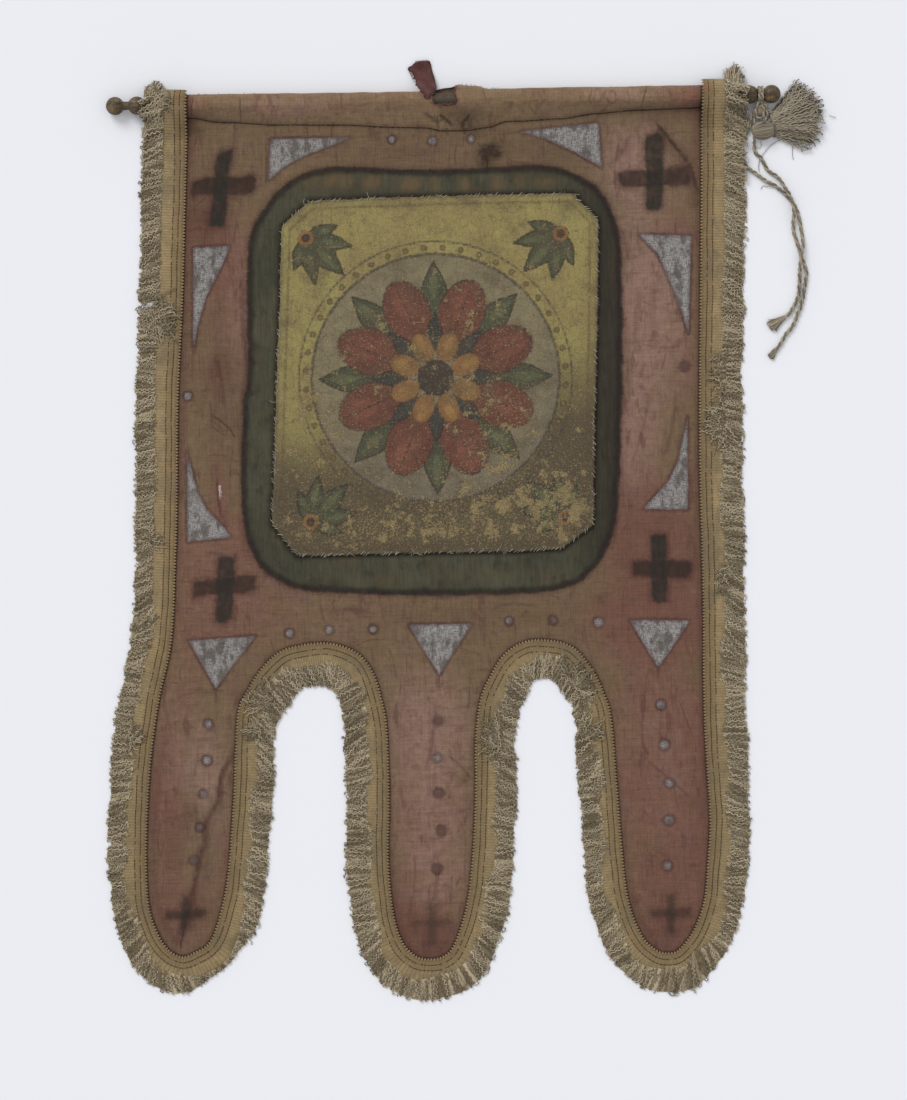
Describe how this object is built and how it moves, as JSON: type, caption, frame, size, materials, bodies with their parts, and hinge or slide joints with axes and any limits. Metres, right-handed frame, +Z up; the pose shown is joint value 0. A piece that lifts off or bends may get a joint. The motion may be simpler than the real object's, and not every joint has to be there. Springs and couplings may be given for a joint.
{
  "type": "church banner with rod",
  "caption": "Worn cloth church banner with rounded tails, gimp and fringe trim and a painted panel, on a turned wooden rod with a tassel tie, lying face up.",
  "frame": {"origin": "on the surface that the banner lies on, under the middle of the painted panel", "axes": "+Y towards the rod, +X along the rod towards the tassel, +Z up out of the banner's face"},
  "size_m": [0.8101, 1.0341, 0.0232],
  "materials": {
    "faded_cloth": "matte faded plain weave",
    "painted_canvas": "matte worn paint on canvas",
    "trim_yarn": "matte ribbed yarn",
    "old_wood": "worn dark varnish",
    "cord_yarn": "matte twisted yarn"
  },
  "bodies": {
    "root": {"cloth": "faded_cloth", "painted_panel": "painted_canvas", "trim_left_top": "trim_yarn", "trim_left_side": "trim_yarn", "trim_left_tail": "trim_yarn", "trim_left_arch_rise": "trim_yarn", "trim_left_arch_fall": "trim_yarn", "trim_middle_tail": "trim_yarn", "trim_right_arch_rise": "trim_yarn", "trim_right_arch_fall": "trim_yarn", "trim_right_tail": "trim_yarn", "trim_right_side": "trim_yarn", "trim_right_top": "trim_yarn", "rod": "old_wood", "neck_tie": "cord_yarn", "tassel": "cord_yarn", "tie_long": "cord_yarn", "tie_long_end": "cord_yarn", "tie_short": "cord_yarn", "tie_short_end": "cord_yarn"}
  },
  "joints": []
}
